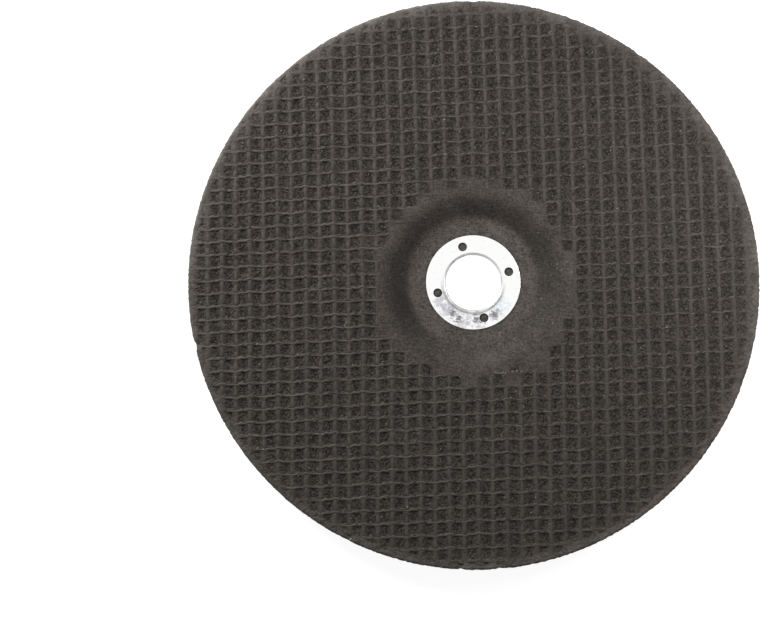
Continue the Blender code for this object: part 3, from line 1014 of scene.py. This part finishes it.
# How far apart the grains lie in the cells and on the back, how many there are on the rim's side, and how big
# they are in millimetres
CELL_GRAIN_SPACING = 1.32 * MM
BACK_GRAIN_SPACING = 3.2 * MM
RIM_GRAIN_COUNT = 1700
CELL_GRAIN_SIZES = (0.20, 0.42)
BACK_GRAIN_SIZES = (0.14, 0.24)
RIM_GRAIN_SIZES = (0.16, 0.34)


def crushed_grains(name, places, sizes, material, rng):
    """Sharp crushed grains of the given sizes at the given places, all in one piece."""
    count = len(places)
    bulge = rng.uniform(0.72, 1.18, (count, 12, 1))
    squash = rng.uniform(0.62, 1.15, (count, 1, 3))
    corners = GRAIN_CORNERS[None] * bulge * squash
    turn = rng.normal(0.0, 1.0, (count, 4))
    turn /= np.linalg.norm(turn, axis=1)[:, None]
    w, i, j, k = turn.T
    spin = np.array([
        [1 - 2 * (j * j + k * k), 2 * (i * j - k * w), 2 * (i * k + j * w)],
        [2 * (i * j + k * w), 1 - 2 * (i * i + k * k), 2 * (j * k - i * w)],
        [2 * (i * k - j * w), 2 * (j * k + i * w), 1 - 2 * (i * i + j * j)],
    ]).transpose(2, 0, 1)
    corners = np.einsum("nab,ncb->nca", spin, corners) * sizes[:, None, None] + places[:, None, :]
    corners[..., 2] = np.clip(corners[..., 2], 0.0, FACE_LEVEL)
    faces = GRAIN_FACES[None] + (np.arange(count) * 12)[:, None, None]
    corners, faces = corners.reshape(-1, 3), faces.reshape(-1, 3)
    return mesh_piece(name, corners, faces, material, smooth=False)


def cell_grains(material):
    """Grains on the floors of the cells."""
    rng = np.random.default_rng(23)
    spread = scattered(MESH_INNER_RADIUS, MESH_OUTER_RADIUS, CELL_GRAIN_SPACING, rng)
    deep, filled, luck, _, _ = cell_state(*spread.T)
    kept = (deep > 0.55) & (filled < 0.5)
    spread, deep, luck = spread[kept], deep[kept], luck[kept]
    sizes = rng.uniform(*CELL_GRAIN_SIZES, len(spread)) * MM
    floor = FACE_LEVEL - cell_sink(deep, luck)
    level = np.minimum(floor + rng.uniform(-0.25, 0.10, len(spread)) * MM, FACE_LEVEL - 0.12 * MM - sizes)
    return crushed_grains("cell_grains", np.column_stack([spread, level]), sizes, material, rng)


def rim_grains(material):
    """Grains on the rim's side and on the back."""
    rng = np.random.default_rng(29)
    turn = rng.uniform(0.0, math.tau, RIM_GRAIN_COUNT)
    height = rng.uniform(BACK_LEVEL + 0.5 * MM, FACE_LEVEL - 0.5 * MM, RIM_GRAIN_COUNT)
    sizes = rng.uniform(*RIM_GRAIN_SIZES, RIM_GRAIN_COUNT) * MM
    bite = rim_notches(DISC_RADIUS * np.cos(turn), DISC_RADIUS * np.sin(turn))
    radius = DISC_RADIUS - 0.12 * MM - sizes * rng.uniform(0.6, 1.0, RIM_GRAIN_COUNT) - bite
    side = np.stack([radius * np.cos(turn), radius * np.sin(turn), height], axis=1)
    spread = scattered(BORE_WALL_RADIUS + 1.0 * MM, FACE_EDGE_RADIUS, BACK_GRAIN_SPACING, rng)
    under = np.column_stack([spread, np.interp(np.hypot(*spread.T), *BACK_LINE.T) + 0.20 * MM])
    places = np.concatenate([side, under])
    sizes = np.concatenate([sizes, rng.uniform(*BACK_GRAIN_SIZES, len(under)) * MM])
    return crushed_grains("rim_and_back_grains", places, sizes, material, rng)


def hole_centres():
    turns = HOLE_TURN + np.arange(HOLE_COUNT) * math.tau / HOLE_COUNT
    return np.stack([np.cos(turns), np.sin(turns)], axis=1) * HOLE_CIRCLE_RADIUS


def grit_in_holes(material):
    """The grit that was pressed up into the four holes of the ring."""
    rng = np.random.default_rng(31)
    points, faces = [], []
    base = FLANGE_LEVEL - SHEET_THICKNESS - 0.45 * MM
    half_width = HOLE_DIAMETER / 2.0 - 0.08 * MM
    for x, y in hole_centres():
        lump = bmesh.new()
        bmesh.ops.create_icosphere(lump, subdivisions=4, radius=1.0)
        faces += [[corner.index + len(points) for corner in face.verts] for face in lump.faces]
        for vertex in lump.verts:
            chance = 1.0 + rng.normal(0.0, 0.06)
            height = max(vertex.co.z, -0.3) * 0.62 * MM * chance
            points.append((x + vertex.co.x * half_width, y + vertex.co.y * half_width, base + height))
        lump.free()
    piece = mesh_piece("grit_in_holes", np.array(points), faces, material, smooth=False)
    mark(piece, "film", 0.3)
    mark(piece, "stand", rng.uniform(0.4, 1.0, len(points)))
    mark(piece, "tone_and_painted_light", 1.0)
    mark(piece, "dust", 0.3)
    return piece


def hole_punches():
    """Four upright pins where the holes go."""
    pins = bmesh.new()
    for x, y in hole_centres():
        bmesh.ops.create_cone(
            pins,
            cap_ends=True,
            segments=36,
            radius1=HOLE_DIAMETER / 2.0,
            radius2=HOLE_DIAMETER / 2.0,
            depth=4.0 * SHEET_THICKNESS,
            matrix=Matrix.Translation((x, y, FLANGE_LEVEL)),
        )
    mesh = bpy.data.meshes.new("punches")
    pins.to_mesh(mesh)
    pins.free()
    punches = bpy.data.objects.new("punches", mesh)
    bpy.context.scene.collection.objects.link(punches)
    return punches


def steel_ring(material):
    """The ring of pressed sheet: a flange with four holes and dents, a rounded edge into the bore, and a
    collar."""
    under_flange = FLANGE_LEVEL - SHEET_THICKNESS
    outline = rounded_line([
        (FLANGE_RADIUS, FLANGE_LEVEL, FLANGE_EDGE_ROUNDING),
        (FLANGE_RADIUS, under_flange, 0.0),
        (COLLAR_RADIUS, under_flange, BORE_EDGE_BEND - SHEET_THICKNESS),
        (COLLAR_RADIUS, COLLAR_END, 0.0),
        (BORE_RADIUS, COLLAR_END, 0.0),
        (BORE_RADIUS, FLANGE_LEVEL, BORE_EDGE_BEND),
    ], closed=True)
    points, quads = spun(fill_in(outline, RING_SPACING), RING_SEGMENTS)
    piece = mesh_piece("dented_ring", points, quads, material)
    punches = hole_punches()
    boolean = piece.modifiers.new("holes", "BOOLEAN")
    boolean.operation = "DIFFERENCE"
    boolean.object = punches
    apply_modifiers(piece)
    bpy.data.objects.remove(punches)

    points = at_points(piece.data, "co")
    x, y, z = points.T
    reach = np.hypot(x, y)
    free = smooth_rise(reach - COLLAR_RADIUS, 0.0, 2.0 * MM)
    free *= smooth_rise(FLANGE_RADIUS - reach, 0.0, 1.2 * MM)
    used = smooth_rise(0.5 + (x * DENTED_SIDE[0] + y * DENTED_SIDE[1]) / FLANGE_RADIUS, 0.0, 1.0)
    dent = noisy(x * 330.0, y * 330.0, 0.0) * (0.03 + 0.10 * used)
    dent += noisy(x * 900.0, y * 900.0, 18.0) * 0.025 * used
    z += (dent - 0.03) * free * MM
    piece.data.vertices.foreach_set("co", points.reshape(-1))
    piece.data.update()
    piece.data.shade_smooth()
    piece.data.set_sharp_from_angle(angle=math.radians(35.0))

    up = at_points(piece.data, "normal")[:, 2]
    # Where painted shade goes: on the bend into the bore, and in a dark line round the bore on the lip of one
    # side
    on_bend = (z > FLANGE_LEVEL - BORE_EDGE_BEND * 0.9) & (reach < BORE_RADIUS + BORE_EDGE_BEND)
    mark(piece, "edge", smooth_rise(1.0 - up, 0.0, 0.02) * smooth_rise(up, -0.1, 0.2) * on_bend)
    way = (x * LIP_SIDE[0] + y * LIP_SIDE[1]) / reach
    painted_lip_shade = np.exp(-((reach - BORE_RADIUS - LIP_REACH) / LIP_HALF_WIDTH) ** 2) * smooth_rise(way, -0.15, 0.55)
    mark(piece, "painted_lip_shade", painted_lip_shade * (z > FLANGE_LEVEL - 0.6 * SHEET_THICKNESS))
    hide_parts("hub_ring")
    return piece


def fill_in(outline, spacing):
    """The same closed outline with more points on its long stretches."""
    points = []
    for index, point in enumerate(outline):
        following = outline[(index + 1) % len(outline)]
        steps = max(1, math.ceil((following - point).length / spacing))
        points += [point.lerp(following, step / steps) for step in range(steps)]
    return points


def spun(outline, count):
    """Points and quads of a closed outline turned round Z."""
    line = np.array(outline)
    rows = len(line)
    turns = np.arange(count) * math.tau / count
    points = np.stack([
        line[None, :, 0] * np.cos(turns)[:, None],
        line[None, :, 0] * np.sin(turns)[:, None],
        np.tile(line[:, 1], (count, 1)),
    ], axis=-1).reshape(-1, 3)
    step, row = np.mgrid[0:count, 0:rows]
    ahead, over = (step + 1) % count, (row + 1) % rows
    corners = [step * rows + row, step * rows + over, ahead * rows + over, ahead * rows + row]
    return points, np.stack(corners, axis=-1).reshape(-1, 4)


def apply_modifiers(piece):
    graph = bpy.context.evaluated_depsgraph_get()
    made = bpy.data.meshes.new_from_object(piece.evaluated_get(graph))
    piece.modifiers.clear()
    piece.data = made


def sliver(start, end, thickness, lift, rng):
    """Rings of points round one short bent fibre end, six-sided and thinner at both ends."""
    steps = 5
    shares = np.linspace(0.0, 1.0, steps)
    line = start[None] * (1.0 - shares[:, None]) + end[None] * shares[:, None]
    line[:, 2] += lift * np.sin(shares * math.pi)
    line[:, :2] += rng.normal(0.0, 0.05 * MM, (steps, 2))
    size = thickness * np.array([0.25, 0.9, 1.0, 0.85, 0.2])
    turn = np.arange(6) * math.tau / 6.0
    along = (end - start) / np.linalg.norm(end - start)
    side = np.cross(along, (0.0, 0.0, 1.0))
    over = np.cross(side, along)
    ring = np.cos(turn)[:, None] * side + np.sin(turn)[:, None] * over
    return line[:, None, :] + ring[None] * size[:, None, None]


# Rows of frayed fibre ends: start and end in millimetres, and how many. More are strewn between two radii.
FRAYED_ROWS = (
    ((4.5, -36.2), (12.5, -36.8), 12),
    ((14.5, -36.0), (20.0, -36.2), 6),
    ((-5.5, -33.5), (-6.5, -38.0), 4),
)
STREWN_COUNT = 170
STREWN_INNER_RADIUS = 25.0 * MM
STREWN_OUTER_RADIUS = 110.0 * MM

# Where the cream chip is round the disc, and how many lumps it is made of
CHIP_TURN = math.radians(244.6)
CHIP_LUMPS = 7


def frayed_ends(material):
    """Pale ends of fibre where the mesh stops near the hub, and single ones strewn over the face."""
    rng = np.random.default_rng(37)
    starts, ways = [], []
    for first, last, count in FRAYED_ROWS:
        for share in np.linspace(0.0, 1.0, count):
            middle = np.array(first) * (1.0 - share) + np.array(last) * share
            starts.append((middle + rng.normal(0, 0.25, 2)) * MM)
            ways.append(rng.normal(0.0, 0.4))
    for _ in range(STREWN_COUNT):
        turn = rng.uniform(0.0, math.tau)
        reach = math.sqrt(rng.uniform(STREWN_INNER_RADIUS ** 2, STREWN_OUTER_RADIUS ** 2))
        starts.append(np.array((math.cos(turn), math.sin(turn))) * reach)
        ways.append(rng.choice([0.0, math.pi / 2.0]) + rng.normal(0.0, 0.3))
    points, faces = [], []
    for start, way in zip(starts, ways):
        deep, filled, *_ = cell_state(*start[:, None])
        sunk = (1.0 - filled[0]) * (0.10 * MM + 0.35 * MM * deep[0])
        length = rng.uniform(0.3, 0.9) * MM
        near = np.array([*start, np.interp(math.hypot(*start), *FACE_LINE.T) - sunk])
        far = near + np.array([math.cos(way), math.sin(way), 0.05]) * length
        rings = sliver(near, far, rng.uniform(0.07, 0.15) * MM, 0.10 * MM, rng)
        faces += tube_faces(*rings.shape[:2], len(points))
        points += rings.reshape(-1, 3).tolist()
    whole = np.array(points)
    whole[:, 2] = np.minimum(whole[:, 2], FACE_LEVEL)
    return mesh_piece("frayed_ends", whole, faces, material)


def rim_chip(material):
    """A cream chip in the near left of the rim."""
    rng = np.random.default_rng(41)
    places, sizes = [], []
    for _ in range(CHIP_LUMPS):
        at = CHIP_TURN + rng.normal(0.0, 0.004)
        reach = DISC_RADIUS - rng.uniform(0.5, 1.3) * MM
        places.append((math.cos(at) * reach, math.sin(at) * reach, FACE_LEVEL - rng.uniform(0.25, 0.6) * MM))
        sizes.append(rng.uniform(0.22, 0.4) * MM)
    return crushed_grains("rim_chip", np.array(places), np.array(sizes), material, rng)


# The floor as the camera sees it: this share of it glows, with this much light in all, and the rest is paint
# under the lamps. It reaches this far each way.
GLOW_SHARE = 0.5
FLOOR_GLOW = 0.93
FLOOR_REACH = 3.0

# How light the world is for all but what is seen directly, which is white
WORLD_LIGHT = 0.07


def seen_directly(shade):
    """1 for what the camera sees, also in metal or through glass."""
    camera_ray, glossy_ray, through_ray = [
        shade.node("ShaderNodeLightPath", {}, {}, out=kind)
        for kind in ("Is Camera Ray", "Is Glossy Ray", "Is Transmission Ray")
    ]
    return (camera_ray + glossy_ray + through_ray).between(0.0, 1.0)


def white_floor():
    """A plain white floor: it shows as the white background, and keeps the disc's shadow."""
    material = bpy.data.materials.new("white_floor")
    material.use_nodes = True
    tree = material.node_tree
    tree.nodes.clear()
    shade = Shade(tree)
    paint = shade.node("ShaderNodeBsdfDiffuse", {}, {"Color": FLOOR_PAINT})
    glow = shade.node("ShaderNodeEmission", {}, {"Color": WHITE, "Strength": FLOOR_GLOW / GLOW_SHARE})
    both = shade.node("ShaderNodeMixShader", {}, {0: seen_directly(shade) * GLOW_SHARE, 1: paint, 2: glow})
    shade.node("ShaderNodeOutputMaterial", {}, {"Surface": both})
    mesh = bpy.data.meshes.new("floor")
    corners = [(x * FLOOR_REACH, y * FLOOR_REACH, 0.0) for x, y in ((-1, -1), (1, -1), (1, 1), (-1, 1))]
    mesh.from_pydata(corners, [], [(0, 1, 2, 3)])
    mesh.materials.append(material)
    floor = bpy.data.objects.new("floor", mesh)
    bpy.context.scene.collection.objects.link(floor)


def daylight():
    world = bpy.data.worlds.new("daylight")
    world.use_nodes = True
    bpy.context.scene.world = world
    shade = Shade(world.node_tree)
    background = world.node_tree.nodes["Background"]
    background.inputs["Color"].default_value = WHITE
    strength = seen_directly(shade) * (1.0 - WORLD_LIGHT) + WORLD_LIGHT
    world.node_tree.links.new(strength.output, background.inputs["Strength"])


def lamp(name, turn, height, distance, size, level):
    """A square softbox that looks at the middle of the disc. Its level is how white it would light a white
    sheet."""
    turn, height = math.radians(turn), math.radians(height)
    light = bpy.data.lights.new(name, "AREA")
    light.size = size
    light.energy = level * (math.pi * distance) ** 2 / math.sin(height)
    made = bpy.data.objects.new(name, light)
    away = Vector((math.cos(turn) * math.cos(height), math.sin(turn) * math.cos(height), math.sin(height)))
    made.location = away * distance
    made.rotation_euler = away.to_track_quat("Z", "Y").to_euler()
    made.visible_camera = False
    bpy.context.scene.collection.objects.link(made)


# The camera, nearly overhead and a little to the near left of the disc's middle
CAMERA_PLACE = Vector((-35.92 * MM, -55.23 * MM, 597.56 * MM))
CAMERA_TILT = math.radians(4.194)
CAMERA_LENS = 68.71


def camera():
    seen = bpy.data.cameras.new("camera")
    seen.lens = CAMERA_LENS
    seen.sensor_width = 36.0
    seen.clip_start = 0.01
    made = bpy.data.objects.new("camera", seen)
    made.location = CAMERA_PLACE
    made.rotation_euler = (CAMERA_TILT, 0.0, 0.0)
    bpy.context.scene.collection.objects.link(made)
    bpy.context.scene.camera = made


camera()
daylight()
white_floor()
lamp("window", turn=137.0, height=26.5, distance=0.60, size=0.25, level=0.56)
lamp("near_lamp", turn=15.0, height=35.5, distance=0.25, size=0.11, level=0.29)
bpy.context.scene.view_settings.view_transform = "Standard"

grit = pressed_grit()
grain = broken_grain()
warp_finish = soaked_thread("soaked_warp", LINES_ACROSS, LINES_ALONG)
weft_finish = soaked_thread("soaked_weft", LINES_ALONG, LINES_ACROSS)
warp_section = flat_section(count=10, groove=0.10)
weft_section = flat_section(count=8, groove=0.0)
pressed_body(grit)
threads("warp_threads", WARP_COUNT, warp_line, WARP_HALF_WIDTH, WARP_HEIGHT, warp_section, warp_finish, 13)
threads("weft_threads", WEFT_COUNT, weft_line, WEFT_HALF_WIDTH, WEFT_HEIGHT, weft_section, weft_finish, 17)
cell_grains(grain)
rim_grains(grain)
grit_in_holes(grit)
steel_ring(tinned_sheet())
frayed_ends(bare_glass())
rim_chip(cream_chip())
